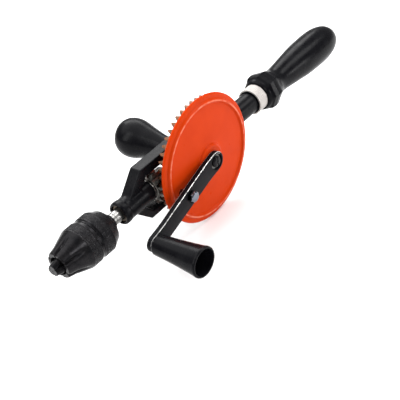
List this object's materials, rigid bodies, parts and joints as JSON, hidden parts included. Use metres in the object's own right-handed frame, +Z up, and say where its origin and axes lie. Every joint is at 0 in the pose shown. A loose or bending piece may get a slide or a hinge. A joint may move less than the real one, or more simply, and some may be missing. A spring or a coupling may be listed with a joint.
{
  "type": "hand drill",
  "caption": "Crank-driven hand drill with a bevel gear wheel, two pinions, a keyless three-jaw chuck, a straight main handle, a side handle and a free-turning crank grip.",
  "frame": {"origin": "the middle of the bottom of the drill's bounding box", "axes": "+X from the chuck to the main handle along the spindle, +Z up in the plane of the gear wheel; the wheel's axle runs along Y, with the crank at -Y and the side handle at +Y"},
  "size_m": [0.3438, 0.1352, 0.096],
  "materials": {
    "black_enamel": "satin black enamel on cast iron, worn at edges",
    "orange_enamel": "glossy orange-red enamel on cast iron; the teeth are bare metal",
    "black_oxide": "black oxide steel, satin, knurled bands",
    "bright_steel": "turned bright steel",
    "pinion_steel": "milled steel teeth, lightly oiled",
    "ferrule_steel": "bright knurled steel ring",
    "chrome": "polished",
    "bronze": "plain bearing bronze, oiled",
    "black_plastic": "glossy moulded black"
  },
  "bodies": {
    "frame": {"frame": "black_enamel", "front_bushing": "bronze", "wheel_axle": "bright_steel", "axle_washer": "bright_steel", "axle_screw": "black_oxide", "hub_washer": "bright_steel", "idler_shaft": "bright_steel", "idler_washer": "bright_steel", "thrust_ball": "bright_steel", "handle_rod": "bright_steel", "handle_ferrule": "ferrule_steel", "main_handle": "black_plastic", "side_stud": "bright_steel", "side_handle": "black_plastic"},
    "spindle": {"spindle": "bright_steel", "drive_pinion": "pinion_steel", "pinion_pin": "bright_steel", "thrust_washer": "bright_steel", "chuck_body": "black_oxide"},
    "sleeve": {"chuck_sleeve": "black_oxide", "chuck_nut_1": "bright_steel", "chuck_nut_2": "bright_steel"},
    "jaw_1": {"jaw_1": "black_oxide"},
    "jaw_2": {"jaw_2": "black_oxide"},
    "jaw_3": {"jaw_3": "black_oxide"},
    "idler": {"idler_pinion": "pinion_steel"},
    "wheel": {"gear_wheel": "orange_enamel", "crank_arm": "black_enamel", "crank_bolt": "chrome", "grip_pin": "bright_steel", "grip_washer": "bright_steel"},
    "grip": {"crank_grip": "black_plastic"}
  },
  "joints": [
    {"name": "wheel_spin", "type": "hinge", "parent": "frame", "child": "wheel", "pos_m": [-0.03275, 0.0011, 0.048], "axis": [0, 1, 0], "continuous": true},
    {"name": "spindle_spin", "type": "hinge", "parent": "frame", "child": "spindle", "pos_m": [-0.03275, 0.0011, 0.048], "axis": [1, 0, 0], "continuous": true},
    {"name": "idler_spin", "type": "hinge", "parent": "frame", "child": "idler", "pos_m": [-0.03275, 0.0011, 0.048], "axis": [1, 0, 0], "continuous": true},
    {"name": "grip_spin", "type": "hinge", "parent": "wheel", "child": "grip", "pos_m": [-0.10953, -0.0489, 0.03266], "axis": [0, 1, 0], "continuous": true},
    {"name": "sleeve_turn", "type": "hinge", "parent": "spindle", "child": "sleeve", "pos_m": [-0.15275, 0.0011, 0.048], "axis": [1, 0, 0], "range_deg": [-2160, 0]},
    {"name": "jaw_1_slide", "type": "slide", "parent": "spindle", "child": "jaw_1", "axis": [0.9659, 0, 0.2588], "range_m": [0, 0.012]},
    {"name": "jaw_2_slide", "type": "slide", "parent": "spindle", "child": "jaw_2", "axis": [0.9659, -0.2241, -0.1294], "range_m": [0, 0.012]},
    {"name": "jaw_3_slide", "type": "slide", "parent": "spindle", "child": "jaw_3", "axis": [0.9659, 0.2241, -0.1294], "range_m": [0, 0.012]}
  ],
  "couplings": [
    {"joint": "spindle_spin", "follows": "wheel_spin", "ratio": -4},
    {"joint": "idler_spin", "follows": "wheel_spin", "ratio": 4},
    {"joint": "jaw_1_slide", "follows": "sleeve_turn", "m_per_rad": -0.0003183},
    {"joint": "jaw_2_slide", "follows": "sleeve_turn", "m_per_rad": -0.0003183},
    {"joint": "jaw_3_slide", "follows": "sleeve_turn", "m_per_rad": -0.0003183}
  ]
}
